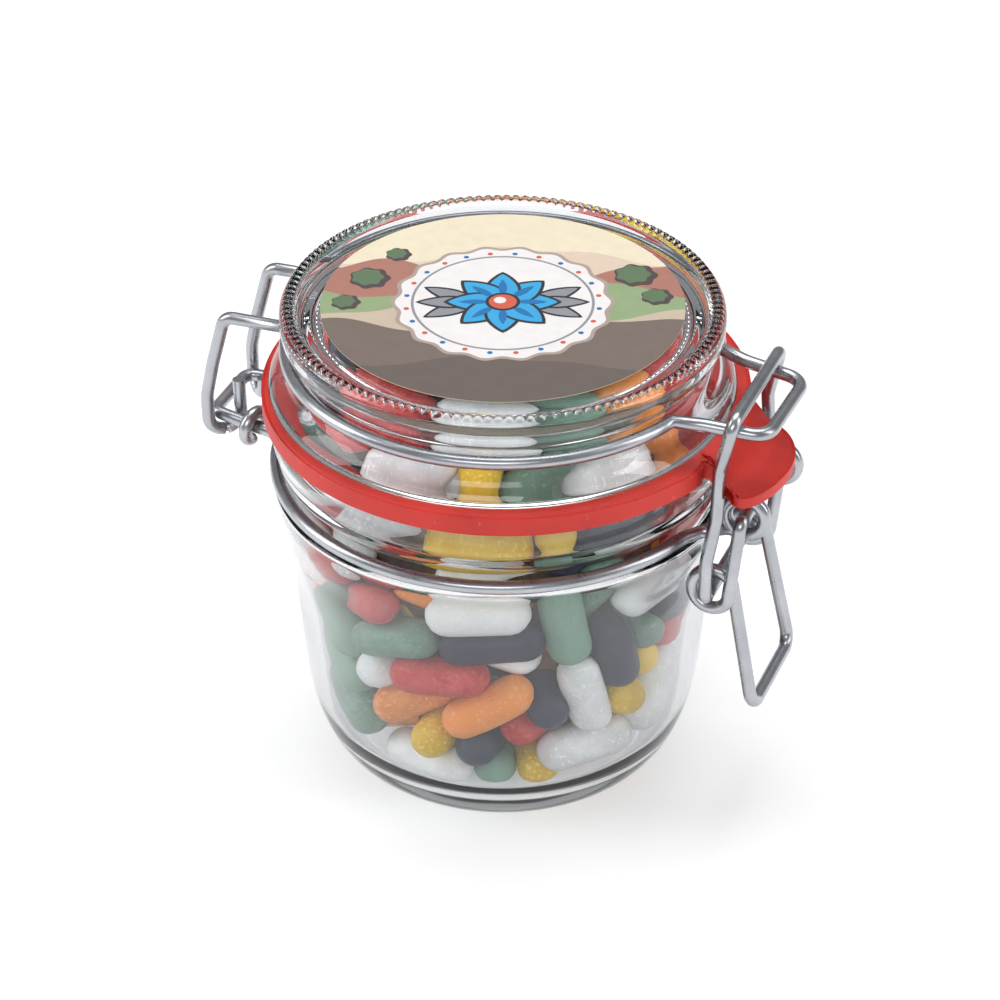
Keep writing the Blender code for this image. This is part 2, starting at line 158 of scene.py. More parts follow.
# A colour mix whose inputs are sockets or plain colours.
def addMix(tree, share, first, second):
    mix = tree.nodes.new("ShaderNodeMix")
    mix.data_type = "RGBA"
    tree.links.new(share, mix.inputs["Factor"])
    for socket, value in (("A", first), ("B", second)):
        target = [s for s in mix.inputs if s.name == socket and s.type == "RGBA"][0]
        if isinstance(value, tuple):
            target.default_value = value
        else:
            tree.links.new(value, target)
    return [s for s in mix.outputs if s.type == "RGBA"][0]


# sRGB values, 0 to 255, as a shader colour.
def paint(red, green, blue):
    part = [c / 255.0 for c in (red, green, blue)]
    return (*[c / 12.92 if c <= 0.04045 else ((c + 0.055) / 1.055) ** 2.4 for c in part], 1.0)


def grey(value):
    return (value, value, value, 1.0)


# A colour with each of its parts multiplied and raised, up to 1.
def shaded(colour, factor, lift=0.0):
    return (*[min(1.0, c * factor + lift) for c in colour[:3]], 1.0)


# Shapes

# Cut each corner of an open outline again and again, so that it turns in a soft bend.
def smoothOutline(corners, rounds):
    outline = [Vector(c) for c in corners]
    for _ in range(rounds):
        cut = [outline[0]]
        for a, b in zip(outline, outline[1:]):
            cut += [a.lerp(b, 0.25), a.lerp(b, 0.75)]
        outline = cut + [outline[-1]]
    return outline


# Spin (radius, height) points in mm about the jar's axis: one wedge, then turned copies of it.
def spinOutline(outline, steps, wedges=6):
    shape = bmesh.new()
    points = [shape.verts.new((p[0] * mm, 0.0, p[1] * mm)) for p in outline]
    edges = [shape.edges.new(pair) for pair in zip(points, points[1:])]
    bmesh.ops.spin(shape, geom=points + edges, cent=(0, 0, 0), axis=(0, 0, 1), angle=math.tau / wedges,
                   steps=steps // wedges)
    wedge = shape.verts[:] + shape.edges[:] + shape.faces[:]
    for number in range(1, wedges):
        copy = bmesh.ops.duplicate(shape, geom=wedge)["geom"]
        bmesh.ops.rotate(shape, cent=(0, 0, 0), matrix=Matrix.Rotation(math.tau * number / wedges, 3, "Z"),
                         verts=[v for v in copy if isinstance(v, bmesh.types.BMVert)])
    bmesh.ops.remove_doubles(shape, verts=shape.verts, dist=joinDistance)
    bmesh.ops.recalc_face_normals(shape, faces=shape.faces)
    return shape


# Turn a bmesh into a finished piece that rides on a body and replaces nodes.
def addPiece(name, shape, materials, body, replaced):
    mesh = bpy.data.meshes.new(name)
    shape.to_mesh(mesh)
    shape.free()
    mesh.shade_smooth()
    mesh.set_sharp_from_angle(angle=math.radians(sharpAngle))
    for material in materials:
        mesh.materials.append(material)
    piece = bpy.data.objects.new(name, mesh)
    bpy.context.scene.collection.objects.link(piece)
    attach(piece, body)
    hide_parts(*replaced)


# Glass

jarGlass = {
    "steps": 144, "rounds": 2, "clear": (0.84, 0.85, 0.865, 1.0), "grey": (0.50, 0.52, 0.56, 1.0),
    "shadow": (0.90, 0.93, 0.92, 1.0),
    "inside": [(0.0, 5.0), (25.0, 4.6), (29.4, 5.6), (32.6, 8.8), (34.2, 14.5), (35.8, 38.0),
               (36.6, 46.0), (38.2, 53.0), (38.0, 56.6), (36.6, 60.5), (36.6, 70.0)],
    "outside": [(37.4, 72.2), (38.2, 73.0), (41.2, 73.0), (42.2, 72.0), (42.2, 67.0), (41.6, 66.5),
                (40.4, 66.0), (40.3, 65.2), (41.1, 64.5), (41.4, 63.9), (41.1, 63.3), (40.2, 62.6),
                (40.0, 61.6), (40.05, 58.9), (42.0, 58.2), (42.3, 57.2), (41.7, 53.2),
                (40.9, 49.4), (39.6, 44.0), (38.8, 36.0), (37.7, 18.5), (36.3, 10.6), (34.4, 5.0),
                (31.8, 1.4), (29.0, 0.0), (26.0, 0.0), (24.0, 1.2), (0.0, 2.2)],
}
lidGlass = {
    "rounds": 2, "beads": 138, "stepsToBead": 6,
    "inside": [(0.0, 88.8), (32.0, 88.8), (34.0, 87.2), (34.6, 84.0), (37.4, 79.2)],
    "outside": [(39.6, 77.0), (41.9, 77.0), (42.6, 77.7), (41.2, 80.0), (38.6, 82.0), (37.4, 83.4),
                (37.4, 85.7), (38.5, 87.0), (39.6, 88.2), (40.0, 90.2), (40.0, 91.9), (39.5, 92.8),
                (38.6, 93.05), (37.2, 92.9), (35.9, 92.3), (0.0, 92.3)],
    "beadRadius": 38.35, "beadHalf": 1.0, "beadHeight": 0.56, "beadRound": 0.7, "beadFoot": 92.5,
}


def makeGlassMaterial():
    material = newMaterial("clear glass", {"Roughness": 0.0, "IOR": 1.5, "Specular IOR Level": 0.12,
                                           "Transmission Weight": 1.0})
    tree = material.node_tree
    shader, output = tree.nodes["Principled BSDF"], tree.nodes["Material Output"]
    edge = tree.nodes.new("ShaderNodeLayerWeight")    # glass looks greyer where it is seen along its wall
    tint = addRamp(tree, edge.outputs["Facing"], [(0.35, jarGlass["clear"]), (0.9, jarGlass["grey"])])
    tree.links.new(tint, shader.inputs["Base Color"])
    addGrain(tree, shader, scale=55.0, detail=1.0, strength=0.25, distance=0.0002)
    clear = tree.nodes.new("ShaderNodeBsdfTransparent")    # light goes straight through to what is inside
    clear.inputs["Color"].default_value = jarGlass["shadow"]
    path = tree.nodes.new("ShaderNodeLightPath")
    mix = tree.nodes.new("ShaderNodeMixShader")
    tree.links.new(path.outputs["Is Shadow Ray"], mix.inputs[0])
    tree.links.new(shader.outputs["BSDF"], mix.inputs[1])
    tree.links.new(clear.outputs["BSDF"], mix.inputs[2])
    tree.links.new(mix.outputs["Shader"], output.inputs["Surface"])
    return material


def makeJar(glass):
    outline = smoothOutline(jarGlass["inside"] + jarGlass["outside"], jarGlass["rounds"])
    shape = spinOutline(outline, jarGlass["steps"])
    addPiece("jar_glass", shape, [glass], "jar_body", ["jar"])


def makeLid(glass):
    steps = lidGlass["beads"] * lidGlass["stepsToBead"]
    outline = smoothOutline(lidGlass["inside"] + lidGlass["outside"], lidGlass["rounds"])
    shape = spinOutline(outline, steps)
    for vert in shape.verts:    # a ring of small beads stands on the rim
        out = math.hypot(vert.co.x, vert.co.y) / mm
        across = (out - lidGlass["beadRadius"]) / lidGlass["beadHalf"]
        if abs(across) < 1.0 and vert.co.z > lidGlass["beadFoot"] * mm:
            along = abs(math.sin(math.atan2(vert.co.y, vert.co.x) * lidGlass["beads"] / 2.0))
            rise = math.sqrt(1.0 - across * across) * along ** lidGlass["beadRound"]
            vert.co.z += lidGlass["beadHeight"] * mm * rise
    bmesh.ops.recalc_face_normals(shape, faces=shape.faces)
    addPiece("lid_glass", shape, [glass], "jar_body", ["lid"])


# Rubber ring with its pull tab

rubberRing = {
    "inner": 38.4, "outer": 44.3, "shift": 0.7, "bottom": 73.3, "top": 76.7, "tabThick": 2.0, "tabTop": 73.4,
    "dropStart": 43.6, "dropLength": 4.9, "dropFrom": 40.5, "edgeRound": 0.45, "edgeSink": 0.6,
    "steps": 150, "cuts": 7, "tabRounds": 2,
    "tab": [(42.6, -11.8), (47.7, -11.8), (49.3, -14.9), (50.6, -15.9), (52.6, -14.4), (54.5, -10.6),
            (55.7, -5.2), (55.7, -0.6), (54.6, 3.6), (52.2, 7.4), (48.8, 10.0), (45.0, 11.4), (42.9, 11.7)],
    "lit": paint(214, 48, 38), "worn": paint(186, 36, 28), "dust": paint(232, 120, 104),
}


def makeRubberMaterial():
    material = newMaterial("red rubber", {"Roughness": 0.5, "Specular IOR Level": 0.45})
    tree = material.node_tree
    shader = tree.nodes["Principled BSDF"]
    patches = addClouds(tree, 70.0, 4.0, (0.35, grey(0.0)), (0.7, grey(1.0)))
    colour = addMix(tree, patches, rubberRing["lit"], rubberRing["worn"])
    specks = addClouds(tree, 900.0, 2.0, (0.68, grey(0.0)), (0.78, grey(0.5)))
    colour = addMix(tree, specks, colour, rubberRing["dust"])
    tree.links.new(colour, shader.inputs["Base Color"])
    addGrain(tree, shader, scale=2600.0, detail=3.0, strength=0.35, distance=0.00008)
    return material


def makeRubberRing(rubber):
    ring = rubberRing

    def pointOn(radius, angle):
        return Vector((ring["shift"] + radius * math.cos(angle), radius * math.sin(angle)))

    tab = smoothOutline(ring["tab"], ring["tabRounds"])
    start = math.atan2(tab[0].y, tab[0].x - ring["shift"])
    end = math.atan2(tab[-1].y, tab[-1].x - ring["shift"])
    outer = list(tab)
    angles = [start + (end - start) * number / (len(tab) - 1) for number in range(len(tab))]
    for step in range(1, ring["steps"]):
        angle = end + (math.tau + start - end) * step / ring["steps"]
        outer.append(pointOn(ring["outer"], angle))
        angles.append(angle)
    inner = [pointOn(ring["inner"], angle) for angle in angles]
    shape = bmesh.new()
    rims = []
    for loop in (inner, outer):
        points = [shape.verts.new((p.x * mm, p.y * mm, 0.0)) for p in loop]
        rims += [shape.edges.new((points[n - 1], points[n])) for n in range(len(points))]
    bmesh.ops.bridge_loops(shape, edges=rims)
    spokes = [e for e in shape.edges if e not in rims]
    bmesh.ops.subdivide_edges(shape, edges=spokes, cuts=ring["cuts"])
    lifted = bmesh.ops.extrude_face_region(shape, geom=shape.faces[:])
    top = {v for v in lifted["geom"] if isinstance(v, bmesh.types.BMVert)}
    for vert in shape.verts:    # the tab drops in a soft step outside the ring
        out = math.hypot(vert.co.x / mm - ring["shift"], vert.co.y / mm)
        part = min(1.0, max(0.0, (out - ring["dropStart"]) / ring["dropLength"]))
        part = part * part * (3.0 - 2.0 * part) if vert.co.x > ring["dropFrom"] * mm else 0.0
        high = ring["top"] + (ring["tabTop"] - ring["top"]) * part
        low = ring["bottom"] + (ring["tabTop"] - ring["tabThick"] - ring["bottom"]) * part
        vert.co.z = (high if vert in top else low) * mm
    bmesh.ops.recalc_face_normals(shape, faces=shape.faces)
    for side, sink in ((1.0, -1.0), (-1.0, 1.0)):    # soften the top and bottom edges
        flat = [f for f in shape.faces if f.normal.z * side > 0.5]
        rim = {v for f in flat for v in f.verts if any(g.normal.z * side <= 0.5 for g in v.link_faces)}
        bmesh.ops.inset_region(shape, faces=flat, thickness=ring["edgeRound"] * mm, use_even_offset=False)
        bmesh.ops.translate(shape, verts=list(rim),
                            vec=(0, 0, sink * ring["edgeSink"] * ring["edgeRound"] * mm))
    addPiece("rubber_ring", shape, [rubber], "jar_body", ["gasket"])


# Label

labelDisc = {
    "radius": 32.55, "bottom": 92.62, "thick": 0.12, "turn": 22.0, "layer": 0.004, "steps": 128,
    "inks": {
        "sky": paint(238, 226, 198), "haze": paint(226, 204, 184), "rose": paint(176, 122, 108),
        "dark": paint(84, 72, 72), "sand": paint(204, 186, 164), "taupe": paint(122, 108, 100),
        "umber": paint(108, 96, 90), "pine": paint(98, 122, 92), "moss": paint(150, 170, 128),
        "medal": paint(240, 235, 234), "rim": paint(176, 160, 150), "blue": paint(58, 168, 222),
        "deepBlue": paint(30, 116, 180), "ink": paint(44, 46, 54), "grey": paint(146, 148, 154),
        "coral": paint(214, 96, 74)},
    "hills": [    # level, swell, phase and colour, from the back to the front
        (17.0, 3.0, 1.2, "haze"), (11.0, 4.0, 4.0, "rose"), (5.0, 3.0, 0.4, "moss"),
        (-2.0, 3.0, 2.6, "sand"), (-8.0, 2.6, 5.2, "taupe"), (-20.0, 1.8, 2.0, "umber")],
    "bushes": [    # place and size
        (-24.0, 9.0, 5.6), (24.0, 10.0, 6.0), (27.6, 2.4, 4.4), (-28.0, 0.5, 4.0), (-19.0, 17.5, 3.6)],
    "middle": (0.0, 0.5),
    "medallion": [    # radius, points, waves, their depth and colour
        (19.6, 216, 18, 0.025, "rim"), (18.8, 216, 18, 0.025, "medal"),
        (16.4, 128, 0, 0.0, "grey"), (15.9, 128, 0, 0.0, "medal")],
    "leafRoot": 5.0, "leafLeans": (-30.0, 30.0, 0.0), "petals": 8, "veinRoot": 2.6,
    "leaf": (10.6, 4.4), "leafFill": (9.8, 3.3), "petal": (10.6, 6.6), "petalFill": (9.8, 5.5),
    "vein": (5.2, 1.5), "dots": 24, "dotRing": 17.3, "dotRadius": 0.5,
}


def pointAt(centre, reach, angle):
    return (centre[0] + reach * math.cos(angle), centre[1] + reach * math.sin(angle))


# Points of a closed curve round a centre: its radius swings in and out a number of times.
def waveLoop(centre, radius, count, waves=0, depth=0.0):
    angles = [math.tau * step / count for step in range(count)]
    return [pointAt(centre, radius * (1.0 + depth * math.cos(waves * angle)), angle) for angle in angles]


# A leaf or petal from a root, with pointed ends.
def petal(root, length, width, degrees):
    lean = math.radians(degrees)
    along, across = (math.cos(lean), math.sin(lean)), (-math.sin(lean), math.cos(lean))
    steps = 18
    sides = []
    for sign in (1.0, -1.0):
        for step in range(steps):
            part = step / steps if sign > 0 else 1.0 - step / steps
            wide = sign * width / 2.0 * math.sin(math.pi * part ** 0.8) ** 0.8
            sides.append((root[0] + along[0] * length * part + across[0] * wide,
                          root[1] + along[1] * length * part + across[1] * wide))
    return sides


# A hill: the part of the disc below a wavy line.
def hill(level, swell, phase, radius):
    edge = []
    for x in np.linspace(-radius, radius, 81):
        y = level + swell * math.sin(phase + x * 0.11) + 0.3 * swell * math.sin(2.0 * phase + x * 0.31)
        if math.hypot(x, y) < radius - 0.1:
            edge.append((x, y))
    right, left = (math.degrees(math.atan2(y, x)) for x, y in (edge[-1], edge[0]))
    turns = np.radians(np.linspace(right, left - 360.0 if left > 0.0 else left, 60))
    return edge + [(radius * math.cos(a), radius * math.sin(a)) for a in turns]


# A thin flat sheet on the label, higher by its place in the pile.
def addSheet(shape, points, level, number):
    turn = Matrix.Rotation(math.radians(labelDisc["turn"]), 3, "Z")
    corners = [shape.verts.new(turn @ Vector((x * mm, y * mm, level * mm))) for x, y in points]
    bmesh.ops.remove_doubles(shape, verts=corners, dist=2.0 * joinDistance)
    corners = [v for v in corners if v.is_valid]
    face = shape.faces.new(corners)
    face.material_index = number
    face.normal_update()
    if face.normal.z < 0.0:
        face.normal_flip()
    bmesh.ops.triangulate(shape, faces=[face])


def makeLabelInks():
    materials = []
    for name, ink in labelDisc["inks"].items():
        material = newMaterial(f"label {name}", {"Roughness": 0.42, "Specular IOR Level": 0.5})
        tree = material.node_tree
        fibres = addClouds(tree, 380.0, 3.0, (0.3, grey(0.0)), (0.75, grey(0.5)))
        colour = addMix(tree, fibres, ink, shaded(ink, 0.86))
        tree.links.new(colour, tree.nodes["Principled BSDF"].inputs["Base Color"])
        materials.append(material)
    return materials


# Every sheet of the label: its place in the pile, its points and its colour.
def drawLabel():
    disc = labelDisc
    middle = disc["middle"]
    drawn = [(place, hill(level, swell, phase, disc["radius"]), name)
             for place, (level, swell, phase, name) in enumerate(disc["hills"], 1)]
    for x, y, size in disc["bushes"]:
        drawn += [(7, waveLoop((x, y), size * 0.64, 84, 7, 0.07), "dark"),
                  (8, waveLoop((x - 0.4, y + 0.4), size * 0.5, 84, 7, 0.08), "pine")]
    drawn += [(place, waveLoop(middle, radius, count, waves, depth), name)
              for place, (radius, count, waves, depth, name) in enumerate(disc["medallion"], 9)]
    for side in (0.0, 180.0):    # leaves at both sides of the flower
        root = (disc["leafRoot"] * math.cos(math.radians(side)), middle[1])
        for number, lean in enumerate(disc["leafLeans"]):
            drawn += [(13 + 2 * number, petal(root, *disc["leaf"], side + lean), "ink"),
                      (14 + 2 * number, petal(root, *disc["leafFill"], side + lean), "grey")]
    leans = [360.0 / disc["petals"] * number for number in range(disc["petals"])]
    for number, lean in enumerate(leans):    # petals, each with a dark outline
        drawn += [(19 + 2 * number, petal(middle, *disc["petal"], lean), "ink"),
                  (20 + 2 * number, petal(middle, *disc["petalFill"], lean), "blue")]
    for lean in leans:
        root = pointAt(middle, disc["veinRoot"], math.radians(lean))
        drawn.append((36, petal(root, *disc["vein"], lean), "deepBlue"))
    drawn += [(37, waveLoop(middle, 3.1, 48), "ink"), (38, waveLoop(middle, 2.5, 48), "coral"),
              (39, waveLoop((-0.5, 1.0), 1.1, 32), "medal")]
    for number in range(disc["dots"]):    # dots round the medallion's rim
        place = pointAt(middle, disc["dotRing"], math.tau * (number + 0.5) / disc["dots"])
        drawn.append((13, waveLoop(place, disc["dotRadius"], 16), "deepBlue" if number % 2 else "coral"))
    return drawn


def makeLabel():
    disc = labelDisc
    radius, top = disc["radius"], disc["bottom"] + disc["thick"]
    shape = bmesh.new()
    bmesh.ops.create_cone(shape, cap_ends=True, segments=disc["steps"], radius1=radius * mm,
                          radius2=radius * mm, depth=disc["thick"] * mm,
                          matrix=Matrix.Translation((0, 0, (top - disc["thick"] / 2) * mm)))
    inks = list(disc["inks"])
    for level, points, name in drawLabel():
        addSheet(shape, points, top + disc["layer"] * level, inks.index(name))
    addPiece("label_print", shape, makeLabelInks(), "jar_body", ["label"])


# Wire

wireGauge = {"radius": 1.225, "roundness": 5,
             "bendStep": 7.0, "arcStep": 4.0, "coilStep": 9.0, "straight": 0.02}
clasp = {"leverPivot": (49.8, 65.6), "linkPivot": (44.6, 49.5), "eyeRadius": 3.6,
         "noseReach": 53.7, "noseHalf": 10.4, "noseTurn": 19.5, "noseLow": 83.3, "linkTop": 86.9,
         "linkTopX": 48.0, "linkHalf": 13.4, "linkWide": 14.8, "handleBottom": (53.4, 25.2)}
rings = {"lidRadius": 39.0, "lidHeight": 84.5, "neckRadius": 41.6, "neckHeight": 60.4,
         "hingeX": -55.4, "hingeHalf": 9.6, "hookFoot": 57.9}
curl = {"steps": 30, "start": 215.0, "turn": 300.0, "radius": 2.8, "along": 3.6, "drift": 0.9}


def makeSteelMaterial():
    material = newMaterial("zinc wire", {"Metallic": 1.0})
    tree = material.node_tree
    shader = tree.nodes["Principled BSDF"]
    tone = addClouds(tree, 120.0, 2.0, (0.3, paint(168, 170, 175)), (0.7, paint(186, 188, 193)))
    tree.links.new(tone, shader.inputs["Base Color"])
    rough = addClouds(tree, 500.0, 2.0, (0.3, grey(0.26)), (0.75, grey(0.33)))
    tree.links.new(rough, shader.inputs["Roughness"])
    return material


# Points along a bent wire in mm: each corner is (x, y, z, bend radius).
def bendWire(corners):
    path = [Vector(corners[0][:3])]
    for before, corner, after in zip(corners, corners[1:], corners[2:]):
        here = Vector(corner[:3])
        back = (Vector(before[:3]) - here).normalized()
        ahead = (Vector(after[:3]) - here).normalized()
        turn = math.pi - back.angle(ahead)
        radius = corner[3]
        if radius == 0.0 or turn < wireGauge["straight"]:
            path.append(here)
            continue
        reach = radius * math.tan(turn / 2.0)
        centre = here + (back + ahead).normalized() * (radius / math.cos(turn / 2.0))
        start = here + back * reach - centre
        across = back.cross(ahead).normalized()
        count = max(2, math.ceil(math.degrees(turn) / wireGauge["bendStep"]))
        for step in range(count + 1):
            path.append(centre + Matrix.Rotation(-turn * step / count, 3, across) @ start)
    path.append(Vector(corners[-1][:3]))
    return path


# Points on a level ring from one angle to another, in degrees.
def ringArc(radius, height, start, end):
    count = math.ceil(abs(end - start) / wireGauge["arcStep"])
    turns = [math.radians(start + (end - start) * step / count) for step in range(count + 1)]
    return [Vector((radius * math.cos(a), radius * math.sin(a), height)) for a in turns]


# Points round a line along Y that move sideways as they turn.
def coil(centre, start, end, yStart, yEnd):
    count = math.ceil(abs(end - start) / wireGauge["coilStep"])
    path = []
    for step in range(count + 1):
        part = step / count
        angle = math.radians(start + (end - start) * part)
        path.append(Vector((centre[0] + clasp["eyeRadius"] * math.cos(angle), yStart + (yEnd - yStart) * part,
                            centre[1] + clasp["eyeRadius"] * math.sin(angle))))
    return path


def otherSide(path):
    return [Vector((p.x, -p.y, p.z)) for p in reversed(path)]


# A round wire along a path in mm.
def addWire(name, path, steel, body, replaced, closed=False):
    curve = bpy.data.curves.new(name, "CURVE")
    curve.dimensions = "3D"
    curve.bevel_depth = wireGauge["radius"] * mm
    curve.bevel_resolution = wireGauge["roundness"]
    curve.use_fill_caps = True
    spline = curve.splines.new("POLY")
    spline.points.add(len(path) - 1)
    for point, place in zip(spline.points, path):
        point.co = (*(place * mm), 1.0)
    spline.use_cyclic_u = closed
    spline.use_smooth = True
    curve.materials.append(steel)
    piece = bpy.data.objects.new(name, curve)
    bpy.context.scene.collection.objects.link(piece)
    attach(piece, body)
    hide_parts(*replaced)


def makeLidWire(steel):
    z, hingeX, half, foot = rings["lidHeight"], rings["hingeX"], rings["hingeHalf"], rings["hookFoot"]
    root = math.degrees(math.asin(half / rings["lidRadius"]))
    nose, low, noseHalf, reach = clasp["noseTurn"], clasp["noseLow"], clasp["noseHalf"], clasp["noseReach"]

    def hook(side, stubX, stubTop, topY):
        return bendWire([
            (stubX, side * topY, stubTop, 0), (-50.8, side * 4.9, foot, 3.28),
            (hingeX, side * half, foot, 3.28),
            (hingeX, side * half, 66.0, 8.0), (-53.9, side * half, 73.0, 12.0),
            (-50.9, side * half, z - 0.6, 2.6), (-40.6, side * half, z, 3.0)])[:-1]

    nearRing = ringArc(rings["lidRadius"], z, -180.0 + root, -nose)
    farRing = ringArc(rings["lidRadius"], z, nose, 180.0 - root)
    noseBend = bendWire([
        (*nearRing[-1], 0), (42.4, -noseHalf - 0.9, low + 0.7, 8.0), (reach - 0.6, -noseHalf + 0.4, low, 3.6),
        (reach, noseHalf - 0.4, low, 3.6), (42.4, noseHalf + 0.9, low + 0.7, 8.0), (*farRing[0], 0)])
    nearHook, farHook = hook(-1, -51.2, 67.6, 4.7), hook(1, -50.9, 62.4, 4.9)
    path = nearHook + nearRing[:-1] + noseBend + farRing[1:] + farHook[::-1]
    addWire("lid_wire_bent", path, steel, "jar_body", ["lid_wire"])


def makeNeckWire(steel):
    z, eyeY, pivot = rings["neckHeight"], 9.3, clasp["leverPivot"]
    barFoot, barTip = (-42.4, -9.2, z + 0.2), (-55.5, -7.0, z + 0.6)
    eye = coil(pivot, 240.0, -82.0, -eyeY, -eyeY)
    front = bendWire([(*eye[-1], 0), (pivot[0] - 3.0, -eyeY, z + 1.9, 3.0), (42.2, -eyeY, z, 3.0),
                      (39.6, -12.6, z, 4.0), (37.6, -17.8, z, 0)])[1:-1]
    nearRing = ringArc(rings["neckRadius"], z, -25.3, -166.0)
    bar = bendWire([(*nearRing[-1], 0), (*barFoot, 3.0), (*barTip, 2.2), (-55.5, 0.0, z + 0.6, 0)])[1:]
    half = eye + front + nearRing + bar
    addWire("neck_wire_bent", half[:-1] + otherSide(half[:-1]), steel, "jar_body", ["neck_wire"])

    # One end of it wraps round the bar at the hinge.
    start = Vector(barFoot)
    along = (Vector(barTip) - start).normalized()
    side = Vector((0, 0, 1)).cross(along).normalized()
    up = along.cross(side)
    wrap = []
    for step in range(curl["steps"] + 1):
        angle = math.radians(curl["start"] - curl["turn"] * step / curl["steps"])
        centre = start + along * (curl["along"] + curl["drift"] * step / curl["steps"])
        wrap.append(centre + (side * math.cos(angle) + up * math.sin(angle)) * curl["radius"])
    back = ringArc(rings["neckRadius"], z, 165.0, 183.0)
    path = back + [Vector((-42.6, -4.6, z + 0.6))] + wrap
    addWire("neck_wire_curl", path, steel, "jar_body", ["neck_wire"])


def makeLever(steel):
    pivot, bottom = clasp["leverPivot"], clasp["handleBottom"]
    outerY, innerY, footY = 12.1, 9.5, 10.9
    swing = coil(clasp["linkPivot"], -6.6, -346.0, -outerY, -innerY)
    pin = bendWire([(pivot[0], 0.0, pivot[1], 0), (pivot[0], -outerY, pivot[1], 1.7), (*swing[0], 0)])[1:-1]
    foot = bendWire([(*swing[-1], 0), (bottom[0], -footY, bottom[1], 3.0),
                     (bottom[0], 0.0, bottom[1], 0)])[1:-1]
    half = pin + swing + foot
    addWire("lever_bent", half + otherSide(half), steel, "lever_body", ["lever"], closed=True)


def makeLink(steel):
    wide, pivot = clasp["linkWide"], clasp["linkPivot"]
    half = bendWire([
        (pivot[0], 0.0, pivot[1], 0), (pivot[0], -wide, pivot[1], 1.8), (44.7, -wide, 58.0, 6.0),
        (46.2, -wide, 67.5, 6.0), (46.0, -clasp["linkHalf"], 77.0, 4.0),
        (clasp["linkTopX"], -clasp["linkHalf"], clasp["linkTop"], 2.4),
        (clasp["linkTopX"], 0.0, clasp["linkTop"], 0)])[1:-1]
    addWire("link_bent", half + otherSide(half), steel, "link_body", ["link"], closed=True)


# Candies

candyHeap = {
    "length": 18.6, "radius": 3.85, "total": 235, "seed": 11, "gap": 0.5, "settleRounds": 400,
    "holdRounds": 250, "holdPull": 0.2, "listedGive": 0.12, "levelInset": 0.8,
    "startSize": 0.55, "growth": 0.45, "growRounds": 0.6, "scatterRadius": 31.0,
    "scatterHeights": (12.0, 85.0),
    "wallLeans": (-75.0, -50.0, -25.0, 0.0, 25.0, 50.0, 75.0),
    "around": 16, "waist": 1.02, "bend": 0.45, "lump": 0.05, "lumpScale": 0.16,
    "coreInset": 9.0, "coreBottom": 12.0, "coreTop": 80.0, "coreEdge": 3.0, "coreChamfer": 4.0,
    "coreRows": 7, "coreSteps": 48,
}
candyColours = {
    "green": paint(118, 154, 134), "slate": paint(34, 42, 68), "white": paint(238, 238, 238),
    "yellow": paint(240, 194, 16), "red": paint(200, 48, 42), "orange": paint(242, 142, 48),
}
candyShare = {"green": 0.2, "slate": 0.13, "white": 0.22, "yellow": 0.12, "red": 0.14, "orange": 0.19}
# Degrees round from +X, height, tilt from level or None where it points outward, depth and colour.
frontCandies = [
    (-105, 37.0, 6, 0, "green"), (-71, 42.7, 5, 0, "slate"), (-48, 43.0, -74, 1, "green"),
    (-29, 36.1, -78, 0, "slate"), (-14, 35.5, None, 1, "green"), (-4, 42.0, 60, 1, "slate"),
    (-15, 45.8, 5, 1, "white"), (-14, 27.9, None, 2, "yellow"), (-2, 31.0, None, 1, "red"),
    (-11, 21.0, 15, 0, "white"), (-23, 20.0, None, 0, "yellow"), (-42, 27.2, -55, 0, "white"),
    (-50, 35.6, None, 4, "orange"), (-68, 36.0, -23, 4, "white"), (-88, 29.9, 2, 0, "red"),
    (-97, 22.7, 9, 2, "orange"), (-67, 25.3, 35, 0, "orange"), (-116, 27.0, None, 0, "white"),
    (-136, 33.0, -12, 0, "green"), (-134, 25.5, -22, 0, "green"), (-130, 18.0, -18, 0, "green"),
    (-90, 18.7, None, 0, "yellow"), (-92, 13.0, -3, 0, "white"), (-65, 16.0, None, 1, "slate"),
    (-52, 20.9, 31, 3, "red"), (-42, 13.4, 10, 0, "white"), (-73, 11.0, None, 1, "green"),
    (-60, 11.0, None, 1, "yellow"), (-114, 13.0, 0, 2, "orange"), (-24, 13.6, 4, 2, "orange"),
    (-138, 43.0, 10, 0, "red"), (-92, 46.0, -16, 3, "orange"), (-76, 50.6, 7, 0, "white"),
    (-116, 43.4, 17, 1, "red"), (-77, 84.4, 2, 0, "white"), (-53, 84.4, -4, 0, "green"),
    (-30, 84.4, 8, 0, "orange"), (-102, 84.4, 0, 0, "red"), (-76, 76.5, None, 0, "yellow"),
    (-59, 76.5, 20, 0, "green"), (-95, 76.5, 4, 0, "white"), (-38, 76.5, -8, 0, "white"),
    (-77, 66.5, 2, 0, "yellow"), (-53, 66.5, None, 0, "yellow"), (-100, 66.5, 5, 0, "white"),
    (-30, 66.5, 6, 0, "slate"), (-18, 77.0, None, 0, "orange"), (-122, 77.0, 10, 0, "red")]


# Radius of the hollow that the jar and the lid leave at a height.
def insideRadius(height):
    wall = jarGlass["inside"][1:] + lidGlass["inside"][:0:-1]
    return np.interp(height, [z for _, z in wall], [r for r, _ in wall])


def holdInside(ends, radius):
    gap = candyHeap["gap"]
    low, high = jarGlass["inside"][1][1] + gap + radius, lidGlass["inside"][1][1] - gap - radius
    ends[..., 2] = np.clip(ends[..., 2], low, high)
    out = np.hypot(ends[..., 0], ends[..., 1])
    limit = np.full(out.shape, 1e3)
    for lean in np.radians(candyHeap["wallLeans"]):
        wall = insideRadius(ends[..., 2] + radius * np.sin(lean)) - gap
        limit = np.minimum(limit, wall - radius * np.cos(lean))
    ends[..., :2] *= np.minimum(1.0, limit / np.maximum(out, 1e-6))[..., None]


